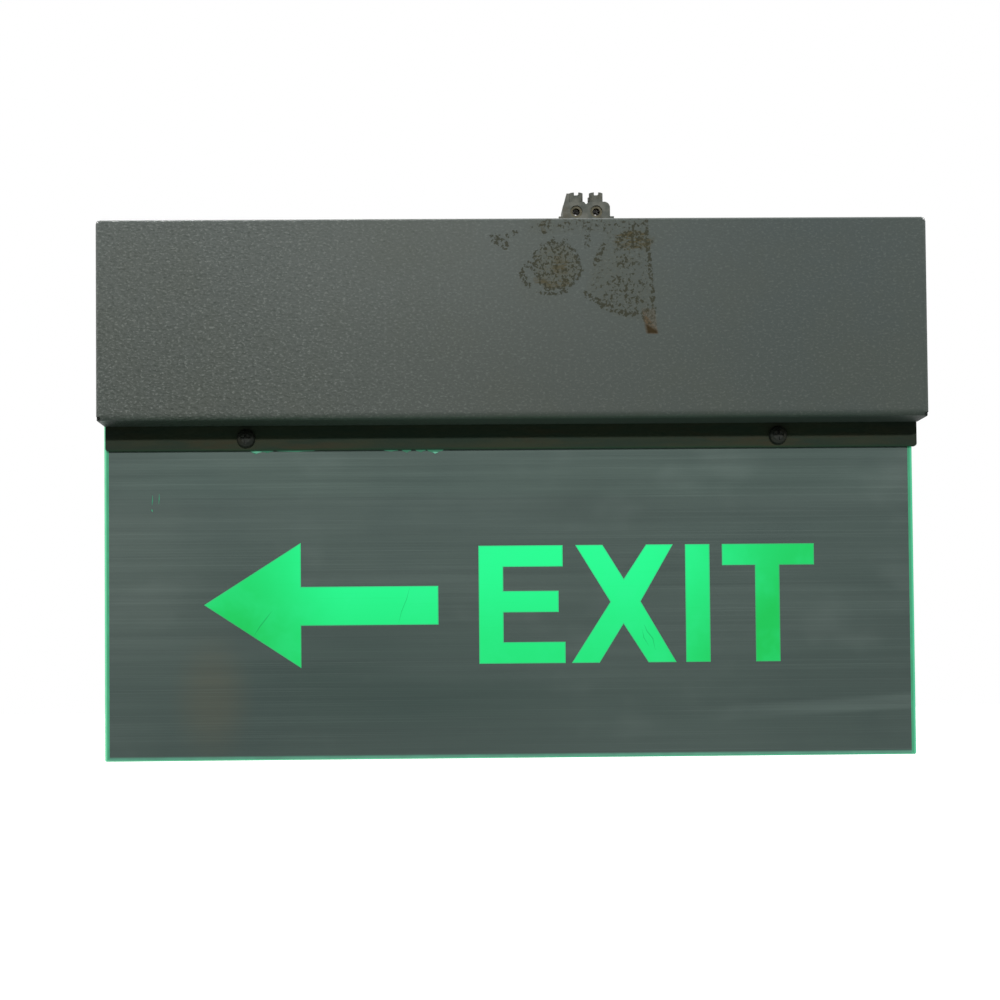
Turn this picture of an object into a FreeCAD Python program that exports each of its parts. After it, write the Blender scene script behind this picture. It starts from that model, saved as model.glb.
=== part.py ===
import FreeCAD, Part
import math
import os

# Emergency exit light: a folded-steel gear box for wall mounting with an edge-lit acrylic sign
# panel clamped under it.  Millimetres.  The front faces -Y, +Z is up, the wall is the plane
# Y = 0, and the origin is the middle of the four wall-fixing holes.

V = FreeCAD.Vector
LEFT, RIGHT, BACK, FRONT, UP, DOWN = V(-1, 0, 0), V(1, 0, 0), V(0, 1, 0), V(0, -1, 0), V(0, 0, 1), V(0, 0, -1)

# ---------------------------------------------------------------- driving dimensions
# Overall
COVER_W = 352.0            # front cover, side to side
COVER_H = 85.0             # front cover, top to bottom
DEPTH = 50.0               # wall to front of cover
PANEL_W = 350.0            # acrylic sign panel
PANEL_H = 145.0
PANEL_T = 5.0
PANEL_SHIFT = -1.3         # the panel sits a little to the left in its clamp
PANEL_MID_Y = -20.0        # middle of the acrylic's thickness

# Folded sheet steel
SHEET = 1.0
COVER_BEND = 2.5           # outer radius of the cover's bends
BOX_BEND = 1.6             # outer radius of the box's bends
COVER_STRIP_GAP = 0.2      # the cover's walls reach back over the box to this far from the clamp strip
COVER_FIT = 0.2            # play between cover and box
CORNER_SLIT = 0.4          # open mitre between two folded walls
RELIEF_R = 1.2             # bend relief at each front corner of the cover
RELIEF_IN = 0.6            # its middle, in from the cover's side and edge

# Wall fixings
FIXING_X = 280.0
FIXING_Z = 60.0
FIXING_R = 2.75

# Screws, nuts and rivets: (shank diameter, head diameter, head height)
M25 = (2.5, 5.0, 1.8)
M3 = (3.0, 5.6, 2.0)
M4 = (4.0, 8.0, 2.6)
M3_NUT = (5.5, 2.4)        # across flats, height
M4_NUT = (7.0, 3.2)
HOLE_GAP = 0.25            # radial play of a screw in a plain hole
THREAD_GAP = 0.05          # radial play left between thread bodies
HEAD_RIM = 0.2             # upright rim of a countersunk head
SEAT_GAP = 0.05            # air between faces that bear on each other through a screw or clip
RIVET_D = 3.2
RIVET_HEAD_D = 6.0
RIVET_HEAD_H = 1.0

# Panel clamp
STRIP_OVER = 1.0           # strip longer than the panel
STRIP_H = 11.5
STRIP_T = 2.0
STRIP_CORNER = 1.3
CLAMP_PITCH = 230.0        # between the two clamp screws
CLAMP_DROP = 6.8           # clamp screws below the box
FACE_T = 0.5               # brushed face sheet and rear sheet
FACE_INSET = 2.0           # bare border of acrylic beside the face sheet
PANEL_TOP_GAP = 0.3        # panel top edge to the box
BRACKET_T = 1.5
BRACKET_BEND = 1.0         # inner radius
BRACKET_DROP = 11.7
BRACKET_BACK = 14.0
BRACKET_END = 2.0          # bracket ends, inside the box sides
BRACKET_RIVETS = (-150.0, -50.0, 50.0, 150.0)

# Light source
SLOT_W = 6.0               # light slot in the floor of the box, front to back
SLOT_END = 6.0
CARRIER_T = 1.0
CARRIER_BEND = 0.5
CARRIER_RISE = 4.0
CARRIER_REACH = 9.5
CARRIER_FOOT = 12.5
LED_BOARD_W = 8.0
LED_BOARD_T = 1.0
LED_COUNT = 14
LED_SIZE = (3.5, 2.8, 0.8)

# Battery: three cells in one sleeve, under two saddle straps
CELL_R = 11.25
CELL_L = 42.0
CELL_COUNT = 3
CELL_NECK = 1.4            # depth of the sleeve's waist between cells
BATTERY_END_GAP = 12.0     # to the side of the box
STRAP_W = 10.0
STRAP_T = 0.8
STRAP_FOOT = 9.0
STRAP_BEND = 1.0
STRAP_INSET = 32.0         # from each end of the battery

# Transformer on a U frame
CORE_W = 42.0
CORE_D = 35.0
CORE_STACK = 15.0
CORE_LEG = 7.0
COIL_OUT = 6.0             # winding beyond the stack
FRAME_T = 1.0
FRAME_FOOT = 11.0
FRAME_BEND = 0.3
FRAME_FIT = 0.15           # play between lamination stack and frame
TRANSFORMER_GAP = 7.0      # battery end to frame foot

# Control board
BOARD_L = 98.0
BOARD_H = 44.0
BOARD_T = 1.6
BOARD_END_GAP = 22.0       # to the side of the box, where the switch is
STANDOFF_H = 8.0
STANDOFF_R = 2.75
BOARD_HOLE_INSET = 4.0

# Terminal block on the roof of the box
BLOCK_X = 33.0
BLOCK_FRONT_GAP = 1.0      # to the rear edge of the cover's top wall
BLOCK_L = 16.0             # front to back
POLE_PITCH = 8.7
LOBE_Z = 8.9               # axis of the barrels above the roof
BODY_X = 10.3              # half width of the moulded body
BODY_TOP = 13.2
BODY_SHOULDER = 2.6
BODY_VALLEY = 1.1          # groove between the poles
FOOT_X = 12.0              # half width of the foot at the body's front
FOOT_L = 3.0
FOOT_H = 6.8
WEB_T = 1.4                # what is left of the link to the next pole
NOTCH_W = 1.9              # notches in the tower rims
NOTCH_H = 1.3
TOWER_R = 3.0
TOWER_BORE = 2.0
TOWER_TOP = 17.4
TOWER_ROW = 9.0            # between front and rear towers
BARREL_R = 2.6
BARREL_BORE = 1.6
BARREL_L = 14.0
BLOCK_SEAT = 11.8           # seat of the block's fixing screw above the roof

# Cable grommet in the roof
GROMMET_X = 56.0
GROMMET_HOLE_R = 5.0
GROMMET_FLANGE_R = 6.8
GROMMET_FLANGE = 1.6
GROMMET_BORE_R = 3.25

# Test switch and indicator in the right-hand side of the box
SWITCH_Y = -18.0
SWITCH_HOLE_R = 4.9
SWITCH_BEZEL_R = 6.2
SWITCH_BEZEL_T = 1.6
SWITCH_BARREL_L = 9.0
SWITCH_BODY_R = 5.6
SWITCH_BODY_L = 8.0
BUTTON_R = 3.0
BUTTON_OUT = 3.0
BUTTON_COLLAR = 0.6        # collar beyond the cap's radius
BUTTON_COLLAR_L = 2.0
BUTTON_LIP = 1.2
BUTTON_FIT = 0.15
BUTTON_TRAVEL = 2.5
BUTTON_STEM_R = 1.0
SPRING_WIRE_R = 0.25
SPRING_TURNS = 4
SPRING_L = 8.0
INDICATOR_Z = 16.0
INDICATOR_R = 2.5
CLIP_WALL = 0.7

# ---------------------------------------------------------------- derived places
BOX_W = COVER_W - 2 * (SHEET + COVER_FIT)
BOX_H = COVER_H - 2 * (SHEET + COVER_FIT)
BOX_FRONT = -(DEPTH - COVER_BEND)        # the box's walls end where the cover's bends begin
WALL_Y = -SHEET                         # inner face of the back of the box
SIDE_X = BOX_W / 2                      # outer face of the box's side
SIDE_IN_X = SIDE_X - SHEET
ROOF_Z = BOX_H / 2                      # outer face of the box's roof
FLOOR_Z = -BOX_H / 2                    # outer face of the box's floor
FLOOR_IN_Z = FLOOR_Z + SHEET
PANEL_FRONT = PANEL_MID_Y - PANEL_T / 2
PANEL_BACK = PANEL_MID_Y + PANEL_T / 2
PANEL_TOP = FLOOR_Z - PANEL_TOP_GAP
PANEL_BOTTOM = PANEL_TOP - PANEL_H
STRIP_BACK = PANEL_FRONT - FACE_T
COVER_BACK = STRIP_BACK - STRIP_T - COVER_STRIP_GAP
BRACKET_FRONT = PANEL_BACK + FACE_T
CLAMP_Z = FLOOR_Z - CLAMP_DROP
CLAMP_X = (-CLAMP_PITCH / 2, CLAMP_PITCH / 2)
RIVET_Y = BRACKET_FRONT + BRACKET_BACK * 0.6
BATTERY_Y = WALL_Y - CELL_R - SEAT_GAP
BATTERY_X = -SIDE_IN_X + BATTERY_END_GAP
BATTERY_L = CELL_COUNT * CELL_L
STRAP_X = (BATTERY_X + STRAP_INSET, BATTERY_X + BATTERY_L - STRAP_INSET)
STRAP_STUD_Z = CELL_R + SEAT_GAP + STRAP_T + STRAP_FOOT * 0.6
TRANSFORMER_X = BATTERY_X + BATTERY_L + TRANSFORMER_GAP + FRAME_FOOT + CORE_W / 2
FRAME_STUD_X = CORE_W / 2 + FRAME_FOOT * 0.6
EARTH_AT = (TRANSFORMER_X, BOX_H / 2 - 12.0)
BOARD_RIGHT = SIDE_IN_X - BOARD_END_GAP
BOARD_LEFT = BOARD_RIGHT - BOARD_L
BOARD_BACK = WALL_Y - STANDOFF_H
BOARD_FRONT = BOARD_BACK - BOARD_T
BLOCK_Y = COVER_BACK + BLOCK_FRONT_GAP + BLOCK_L / 2
COVER_SCREW_Y = (COVER_BACK - DEPTH) / 2
COVER_SCREW_Z = COVER_H * 0.3
COVER_SCREW_L = 6.0
CARRIER_UNDER = FLOOR_IN_Z + CARRIER_RISE - CARRIER_T
SWITCH_BARREL_R = SWITCH_HOLE_R - HOLE_GAP
SWITCH_FACE = SIDE_X + SWITCH_BEZEL_T
COLLAR_R = BUTTON_R + BUTTON_COLLAR
SWITCH_BORE_END = SWITCH_FACE - BUTTON_LIP - BUTTON_COLLAR_L - SPRING_L - 2 * SEAT_GAP


# ---------------------------------------------------------------- shape helpers
def block(x, y, z):
    """A box between the two limits given for each axis."""
    low = V(min(x), min(y), min(z))
    return Part.makeBox(abs(x[1] - x[0]), abs(y[1] - y[0]), abs(z[1] - z[0]), low)


def rod(radius, start, end):
    """A round bar from one point to another."""
    return Part.makeCylinder(radius, (end - start).Length, start, end - start)


def placed(shape, origin, axis):
    """Turns a shape made along +Z to point along axis, and moves it to origin."""
    turn = FreeCAD.Rotation(V(0, 0, 1), axis)
    shape.Placement = FreeCAD.Placement(origin, turn)
    return shape


def turned(profile, origin, axis):
    """A solid of revolution: profile holds (radius, height) points, height measured along axis."""
    points = [V(radius, 0, height) for radius, height in profile]
    face = Part.Face(Part.makePolygon(points + points[:1]))
    return placed(face.revolve(V(0, 0, 0), V(0, 0, 1), 360), origin, axis)


def rounded_run(points, radii):
    """Edges of an open run of 2-D points with an arc of the given radius at each inner corner."""
    edges = []
    start = points[0]
    for before, corner, after, radius in zip(points, points[1:], points[2:], radii):
        arriving = (corner - before).normalize()
        leaving = (after - corner).normalize()
        half_turn = arriving.getAngle(leaving) / 2
        reach = radius * math.tan(half_turn)
        first = corner - arriving * reach
        last = corner + leaving * reach
        inward = (leaving - arriving).normalize()
        middle = corner + inward * (radius / math.cos(half_turn) - radius)
        edges.append(Part.LineSegment(start, first))
        edges.append(Part.Arc(first, middle, last))
        start = last
    edges.append(Part.LineSegment(start, points[-1]))
    return edges


def side_step(points, distance):
    """The same open run, moved sideways to its left by a distance."""
    normals = []
    for a, b in zip(points, points[1:]):
        along = (b - a).normalize()
        normals.append(V(-along.y, along.x, 0))
    moved = [points[0] + normals[0] * distance]
    for corner, one, two in zip(points[1:], normals, normals[1:]):
        both = one + two
        moved.append(corner + both * (2 * distance / both.dot(both)))
    moved.append(points[-1] + normals[-1] * distance)
    return moved


def folded(run, thickness, bends, length):
    """Folded sheet in its own XY plane, extruded along +Z.

    run holds the (x, y) points of one face, and the sheet lies on the left of it.  bends holds
    the inner radius of each fold."""
    face_run = [V(x, y, 0) for x, y in run]
    other_run = side_step(face_run, thickness)
    face_radii, other_radii = [], []
    for before, corner, after, bend in zip(face_run, face_run[1:], face_run[2:], bends):
        left_turn = (corner - before).cross(after - corner).z > 0
        face_radii.append(bend + thickness if left_turn else bend)
        other_radii.append(bend if left_turn else bend + thickness)
    edges = rounded_run(face_run, face_radii)
    edges += rounded_run(other_run, other_radii)
    edges.append(Part.LineSegment(face_run[0], other_run[0]))
    edges.append(Part.LineSegment(face_run[-1], other_run[-1]))
    outline = Part.Wire(Part.__sortEdges__([edge.toShape() for edge in edges]))
    return Part.Face(outline).extrude(V(0, 0, length))


def along_x(shape, start):
    """Lays a folded section in the YZ plane, its length along +X from start."""
    shape.Placement = FreeCAD.Placement(V(start, 0, 0), FreeCAD.Rotation(V(1, 1, 1), 120))
    return shape


def pan_screw(size, length, seat, axis):
    """Pan-head screw with a cross recess.  The head bears at seat and the shank points along axis."""
    shank, head, height = size
    profile = [(0, -height), (head * 0.25, -height), (head * 0.43, -height * 0.75), (head / 2, -height * 0.3)]
    profile += [(head / 2, 0), (shank / 2, 0), (shank / 2, length), (0, length)]
    screw = turned(profile, V(0, 0, 0), UP)
    wing, web, deep = head * 0.28, head * 0.07, height * 0.65
    cross = [block((-a, a), (-b, b), (-height - 1, deep - height)) for a, b in ((wing, web), (web, wing))]
    return placed(screw.cut(cross), seat, axis)


def countersunk_profile(size, length, play=0.0):
    """Half outline of a countersunk screw, from the middle of its flat head, or of the hole for it."""
    shank, head = size[0] / 2 + play, size[1] / 2 + play
    return [(0, 0), (head, 0), (head, HEAD_RIM), (shank, HEAD_RIM + head - shank), (shank, length), (0, length)]


def countersunk_screw(size, length, seat, axis):
    """Countersunk screw with a cross recess, its flat head level with seat."""
    screw = turned(countersunk_profile(size, length), V(0, 0, 0), UP)
    wing, web, deep = size[1] * 0.28, size[1] * 0.07, size[1] * 0.2
    cross = [block((-a, a), (-b, b), (-1, deep)) for a, b in ((wing, web), (web, wing))]
    return placed(screw.cut(cross), seat, axis)


def cheese_screw(size, length, seat, axis):
    """Plain cylindrical head on a shank, seated and pointed as a pan-head screw is."""
    shank, head, height = size
    profile = [(0, -height), (head / 2, -height), (head / 2, 0), (shank / 2, 0), (shank / 2, length), (0, length)]
    screw = turned(profile, V(0, 0, 0), UP)
    slot = block((-head, head), (-head * 0.08, head * 0.08), (-height - 1, -height * 0.5))
    return placed(screw.cut(slot), seat, axis)


def hex_nut(size, thread, seat, axis):
    """Hexagon nut standing on seat and rising along axis."""
    flats, height = size
    corner = flats / math.sqrt(3)
    hexagon = [V(corner * math.cos(a), corner * math.sin(a), 0) for a in (math.pi / 3 * i for i in range(7))]
    nut = Part.Face(Part.makePolygon(hexagon)).extrude(V(0, 0, height))
    nut = nut.cut(rod(thread / 2 + THREAD_GAP, V(0, 0, -1), V(0, 0, height + 1)))
    return placed(nut, seat, axis)


def rivet(grip, seat, axis):
    """Blind rivet: domed head at seat, body along axis through grip, upset end beyond it."""
    r, head, height = RIVET_D / 2, RIVET_HEAD_D / 2, RIVET_HEAD_H
    profile = [(0, -height), (head * 0.6, -height), (head, 0), (r, 0), (r, grip), (r * 1.45, grip)]
    profile += [(r * 1.1, grip + r * 1.2), (0, grip + r * 1.2)]
    return turned(profile, seat, axis)


def tray(width, height, closed_y, open_y, bend):
    """Solid envelope of a folded tray, its closed face at closed_y with all four edges rounded."""
    inward = 1 if open_y > closed_y else -1
    shapes = []
    for half, span, axis in ((height / 2, width, 0), (width / 2, height, 1)):
        corners = [V(-half, open_y, 0), V(-half, closed_y, 0), V(half, closed_y, 0), V(half, open_y, 0)]
        edges = rounded_run(corners, (bend, bend))
        edges.append(Part.LineSegment(corners[-1], corners[0]))
        outline = Part.Wire(Part.__sortEdges__([edge.toShape() for edge in edges]))
        solid = Part.Face(outline).extrude(V(0, 0, span))
        solid.translate(V(0, 0, -span / 2))
        if axis == 0:
            solid.rotate(V(0, 0, 0), V(0, 1, 0), -90)
        shapes.append(solid)
    return shapes[0].common(shapes[1])


def corner_cuts(width, height, closed_y, open_y, bend):
    """Slits where two folded walls meet, one along each corner edge."""
    start = closed_y + math.copysign(bend, open_y - closed_y)
    cuts = []
    for sx in (-1, 1):
        for sz in (-1, 1):
            slit = block((-2 * SHEET, 2 * SHEET), (start, open_y), (-CORNER_SLIT / 2, CORNER_SLIT / 2))
            slit.rotate(V(0, 0, 0), V(0, 1, 0), -45 * sx * sz)
            slit.translate(V(sx * width / 2, 0, sz * height / 2))
            cuts.append(slit)
    return cuts


def sheet_tray(width, height, closed_y, open_y, bend):
    """A tray folded from one sheet: a closed face and four walls with open mitres."""
    inner_y = closed_y + math.copysign(SHEET, open_y - closed_y)
    past_y = open_y + math.copysign(1, open_y - closed_y)
    outer = tray(width, height, closed_y, open_y, bend)
    inner = tray(width - 2 * SHEET, height - 2 * SHEET, inner_y, past_y, bend - SHEET)
    return outer.cut(inner).cut(corner_cuts(width, height, closed_y, open_y, bend))


def holes(shape, radius, points, axis, reach):
    """Drills holes of one radius through the sheet at each point, reaching both ways along axis."""
    return shape.cut([rod(radius, point - axis * reach, point + axis * reach) for point in points])


# ---------------------------------------------------------------- housing
def wall_fixing_points():
    return [V(sx * FIXING_X / 2, 0, sz * FIXING_Z / 2) for sx in (-1, 1) for sz in (-1, 1)]


def cover_screw_points():
    return [V(sx * COVER_W / 2, COVER_SCREW_Y, sz * COVER_SCREW_Z) for sx in (-1, 1) for sz in (-1, 1)]


def inward(point):
    """Into the box from its side at point."""
    return LEFT if point.x > 0 else RIGHT


def strap_stud_points():
    return [V(x, WALL_Y, sz * STRAP_STUD_Z) for x in STRAP_X for sz in (-1, 1)]


def frame_stud_points():
    return [V(TRANSFORMER_X + sx * FRAME_STUD_X, WALL_Y, 0) for sx in (-1, 1)]


def standoff_points():
    xs = (BOARD_LEFT + BOARD_HOLE_INSET, BOARD_RIGHT - BOARD_HOLE_INSET)
    half = BOARD_H / 2 - BOARD_HOLE_INSET
    return [V(x, WALL_Y, z) for x in xs for z in (-half, half)]


def rivet_points():
    return [V(x, RIVET_Y, FLOOR_Z) for x in BRACKET_RIVETS]


def back_box():
    """Box folded from one sheet and open to the front, with its weld studs."""
    box = sheet_tray(BOX_W, BOX_H, 0, BOX_FRONT, BOX_BEND)
    half_slot = BOX_W / 2 - SLOT_END
    box = box.cut(block((-half_slot, half_slot), (PANEL_MID_Y - SLOT_W / 2, PANEL_MID_Y + SLOT_W / 2),
                        (FLOOR_Z - 1, FLOOR_IN_Z + 1)))
    box = holes(box, FIXING_R, wall_fixing_points(), BACK, 2 * SHEET)
    head_in_box = M3[1] / 2 + HEAD_RIM - SHEET - COVER_FIT
    box = holes(box, head_in_box + HOLE_GAP, cover_screw_points(), RIGHT, 3 * SHEET + COVER_FIT)
    box = holes(box, RIVET_D / 2 + SEAT_GAP, rivet_points(), UP, 2 * SHEET)
    box = holes(box, GROMMET_HOLE_R, [V(GROMMET_X, BLOCK_Y, ROOF_Z)], UP, 2 * SHEET)
    box = holes(box, M25[0] / 2 + THREAD_GAP, [V(BLOCK_X, BLOCK_Y, ROOF_Z)], UP, 2 * SHEET)
    box = holes(box, SWITCH_HOLE_R, [V(SIDE_X, SWITCH_Y, 0)], RIGHT, 2 * SHEET)
    clip_hole = INDICATOR_R + CLIP_WALL + 2 * SEAT_GAP
    box = holes(box, clip_hole, [V(SIDE_X, SWITCH_Y, INDICATOR_Z)], RIGHT, 2 * SHEET)
    studs = [rod(M3[0] / 2, p, p + FRONT * 5.0) for p in strap_stud_points() + frame_stud_points()]
    earth = V(EARTH_AT[0], WALL_Y, EARTH_AT[1])
    studs.append(rod(M4[0] / 2, earth, earth + FRONT * 9.0))
    return box.fuse(studs).removeSplitter()


def front_cover():
    """Shallow folded tray over the front of the box, with relief at each front corner."""
    cover = sheet_tray(COVER_W, COVER_H, -DEPTH, COVER_BACK, COVER_BEND)
    countersinks = [turned(countersunk_profile(M3, 3 * SHEET, SEAT_GAP), point, inward(point))
                    for point in cover_screw_points()]
    reliefs = []
    for sx in (-1, 1):
        for sz in (-1, 1):
            corner = V(sx * (COVER_W / 2 - RELIEF_IN), -DEPTH - 1, sz * (COVER_H / 2 - RELIEF_IN))
            reliefs.append(rod(RELIEF_R, corner, corner + BACK * (1 + COVER_BEND + RELIEF_R)))
    return cover.cut(reliefs + countersinks)


def cover_screws():
    return [countersunk_screw(M3, COVER_SCREW_L, point, inward(point)) for point in cover_screw_points()]


def cover_clinch_nuts():
    """Round clinch nuts on the inside of the box's sides."""
    nuts = []
    for point in cover_screw_points():
        side = 1 if point.x > 0 else -1
        seat = V(side * SIDE_IN_X, point.y, point.z)
        ring = rod(M3[0] * 1.05, seat, seat - V(side * 2.4, 0, 0))
        nuts.append(ring.cut(rod(M3[0] / 2 + THREAD_GAP, seat + V(side, 0, 0), seat - V(side * 4, 0, 0))))
    return nuts


# ---------------------------------------------------------------- panel and clamp
def clamp_points(y):
    return [V(x, y, CLAMP_Z) for x in CLAMP_X]


def pierced_plate(x, y, z):
    """A flat plate with the two clamp screw holes."""
    return holes(block(x, y, z), M4[0] / 2 + HOLE_GAP, clamp_points(y[0]), BACK, PANEL_T + DEPTH)


def light_panel():
    left = PANEL_SHIFT - PANEL_W / 2
    panel = pierced_plate((left, left + PANEL_W), (PANEL_FRONT, PANEL_BACK), (PANEL_BOTTOM, PANEL_TOP))
    ends = [e for e in panel.Edges if e.BoundBox.ZLength < 0.1 and e.BoundBox.XLength < 0.1 and e.CenterOfMass.z < PANEL_BOTTOM + 1]
    return panel.makeFillet(0.8, ends)


def face_sheet():
    half = PANEL_W / 2 - FACE_INSET
    x = (PANEL_SHIFT - half, PANEL_SHIFT + half)
    return pierced_plate(x, (STRIP_BACK, PANEL_FRONT), (PANEL_BOTTOM + FACE_T, PANEL_TOP))


def rear_sheet():
    half = PANEL_W / 2 - FACE_INSET
    x = (PANEL_SHIFT - half, PANEL_SHIFT + half)
    return pierced_plate(x, (PANEL_BACK, BRACKET_FRONT), (PANEL_BOTTOM + FACE_T, PANEL_TOP))


def clamp_strip():
    half = (PANEL_W + STRIP_OVER) / 2
    strip = pierced_plate((-half, half), (STRIP_BACK - STRIP_T, STRIP_BACK), (PANEL_TOP - STRIP_H, PANEL_TOP))
    corners = [e for e in strip.Edges if e.BoundBox.XLength + e.BoundBox.ZLength < 0.1]
    return strip.makeFillet(STRIP_CORNER, corners)


def clamp_screws():
    return [pan_screw(M4, 14.0, p, BACK) for p in clamp_points(STRIP_BACK - STRIP_T - SEAT_GAP)]


def clamp_nuts():
    return [hex_nut(M4_NUT, M4[0], p, BACK) for p in clamp_points(BRACKET_FRONT + BRACKET_T + SEAT_GAP)]


def panel_bracket():
    """Angle under the box: one leg riveted to the floor, the other hanging behind the panel."""
    half = BOX_W / 2 - BRACKET_END
    run = [(BRACKET_FRONT + BRACKET_BACK, FLOOR_Z), (BRACKET_FRONT, FLOOR_Z), (BRACKET_FRONT, FLOOR_Z - BRACKET_DROP)]
    section = folded(run, BRACKET_T, (BRACKET_BEND,), 2 * half)
    bracket = along_x(section, -half)
    bracket = holes(bracket, M4[0] / 2 + HOLE_GAP, clamp_points(BRACKET_FRONT), BACK, 2 * BRACKET_T)
    return holes(bracket, RIVET_D / 2 + SEAT_GAP, rivet_points(), UP, 2 * BRACKET_T)


def bracket_rivets():
    grip = SHEET + BRACKET_T + CARRIER_T + 2 * SEAT_GAP
    under = V(0, 0, -BRACKET_T - SEAT_GAP)
    return [rivet(grip, point + under, UP) for point in rivet_points()]


# ---------------------------------------------------------------- light source
def led_carrier():
    """Z-shaped aluminium rail: foot on the floor, riser, and a ledge over the light slot."""
    half = BOX_W / 2 - SLOT_END
    riser = PANEL_MID_Y + LED_BOARD_W / 2 + 0.5
    run = [(riser - CARRIER_REACH, CARRIER_UNDER), (riser, CARRIER_UNDER), (riser, FLOOR_IN_Z), (riser + CARRIER_FOOT, FLOOR_IN_Z)]
    section = folded(run, CARRIER_T, (CARRIER_BEND, CARRIER_BEND), 2 * half)
    carrier = along_x(section, -half)
    return holes(carrier, RIVET_D / 2 + SEAT_GAP, rivet_points(), UP, 4 * CARRIER_T)


def led_board():
    half = BOX_W / 2 - SLOT_END - 4.0
    y = (PANEL_MID_Y - LED_BOARD_W / 2, PANEL_MID_Y + LED_BOARD_W / 2)
    return block((-half, half), y, (CARRIER_UNDER - LED_BOARD_T, CARRIER_UNDER))


def leds():
    span = BOX_W - 2 * SLOT_END - 30.0
    top = CARRIER_UNDER - LED_BOARD_T
    length, width, height = LED_SIZE
    chips = []
    for i in range(LED_COUNT):
        x = span * (i / (LED_COUNT - 1) - 0.5)
        y = (PANEL_MID_Y - width / 2, PANEL_MID_Y + width / 2)
        chips.append(block((x - length / 2, x + length / 2), y, (top - height, top)))
    return chips


# ---------------------------------------------------------------- battery
def battery_pack():
    """Three round cells in line inside one shrunk sleeve."""
    profile = [(0, 0)]
    for i in range(CELL_COUNT):
        start = i * CELL_L
        profile += [(CELL_R - CELL_NECK, start), (CELL_R, start + CELL_NECK)]
        profile += [(CELL_R, start + CELL_L - CELL_NECK)]
    profile += [(CELL_R - CELL_NECK, BATTERY_L), (0, BATTERY_L)]
    return turned(profile, V(BATTERY_X, BATTERY_Y, 0), RIGHT)


def battery_straps():
    """Saddle straps over the battery, each with two flat feet on weld studs."""
    inside = CELL_R + SEAT_GAP
    top = WALL_Y - 2 * inside
    saddle_bend = inside - SEAT_GAP / 2
    straps = []
    for middle in STRAP_X:
        run = [(WALL_Y, -inside - STRAP_T - STRAP_FOOT), (WALL_Y, -inside), (top, -inside)]
        run += [(top, inside), (WALL_Y, inside), (WALL_Y, inside + STRAP_T + STRAP_FOOT)]
        bends = (STRAP_BEND, saddle_bend, saddle_bend, STRAP_BEND)
        strap = along_x(folded(run, STRAP_T, bends, STRAP_W), middle - STRAP_W / 2)
        studs = [p for p in strap_stud_points() if p.x == middle]
        straps.append(holes(strap, M3[0] / 2 + HOLE_GAP, studs, BACK, 3.0))
    return straps


def battery_strap_nuts():
    lift = FRONT * (STRAP_T + SEAT_GAP)
    return [hex_nut(M3_NUT, M3[0], point + lift, FRONT) for point in strap_stud_points()]


# ---------------------------------------------------------------- transformer
def transformer_core():
    """E-I lamination stack standing on the back of the box, with its two windows."""
    deep = (WALL_Y - SEAT_GAP - CORE_D, WALL_Y - SEAT_GAP)
    core = block((-CORE_W / 2, CORE_W / 2), deep, (-CORE_STACK / 2, CORE_STACK / 2))
    window = (deep[0] + CORE_LEG, deep[1] - CORE_LEG)
    for side in (-1, 1):
        x = (side * CORE_LEG, side * (CORE_W / 2 - CORE_LEG))
        core = core.cut(block(x, window, (-CORE_STACK, CORE_STACK)))
    core.translate(V(TRANSFORMER_X, 0, 0))
    return core


def coil_ring(half_x, half_z, y, corner):
    """A rectangular ring round the centre leg, from the leg's surface out to the given size."""
    ring = block((-half_x, half_x), y, (-half_z, half_z))
    ring = ring.makeFillet(corner, [e for e in ring.Edges if e.BoundBox.YLength > 0.1 and e.BoundBox.XLength < 0.1])
    play = 2 * SEAT_GAP
    hole = block((-CORE_LEG - play, CORE_LEG + play), (y[0] - 1, y[1] + 1),
                 (-CORE_STACK / 2 - play, CORE_STACK / 2 + play))
    ring = ring.cut(hole)
    ring.translate(V(TRANSFORMER_X, 0, 0))
    return ring


def coil_span(inset):
    """Limits along Y of what fills the windows, less an inset at each end."""
    front = WALL_Y - SEAT_GAP - CORE_D + CORE_LEG
    back = WALL_Y - SEAT_GAP - CORE_LEG
    return (front + inset, back - inset)


def transformer_bobbin():
    half_x = CORE_W / 2 - CORE_LEG - 2 * SEAT_GAP
    half_z = CORE_STACK / 2 + COIL_OUT + 1.0
    front, back = coil_span(2 * SEAT_GAP)
    cheek = 1.0
    tube_x, tube_z = CORE_LEG + 1.0, CORE_STACK / 2 + 1.0
    bobbin = coil_ring(tube_x, tube_z, (front, back), 0.5)
    for y in ((front, front + cheek), (back - cheek, back)):
        bobbin = bobbin.fuse(coil_ring(half_x, half_z, y, 1.5))
    return bobbin.removeSplitter()


def transformer_winding():
    """Wound copper between the bobbin's cheeks, with rounded shoulders."""
    cheek_inset = 1.0 + 3 * SEAT_GAP
    span = coil_span(2 * SEAT_GAP + cheek_inset)
    half_x = CORE_W / 2 - CORE_LEG - 0.6
    half_z = CORE_STACK / 2 + COIL_OUT
    winding = block((-half_x, half_x), span, (-half_z, half_z))
    edges = [e for e in winding.Edges if e.BoundBox.YLength > 0.1 and e.BoundBox.XLength < 0.1]
    winding = winding.makeFillet(4.0, edges)
    tube_x, tube_z = CORE_LEG + 1.0 + SEAT_GAP, CORE_STACK / 2 + 1.0 + SEAT_GAP
    winding = winding.cut(block((-tube_x, tube_x), (span[0] - 1, span[1] + 1), (-tube_z, tube_z)))
    winding.translate(V(TRANSFORMER_X, 0, 0))
    return winding


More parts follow.
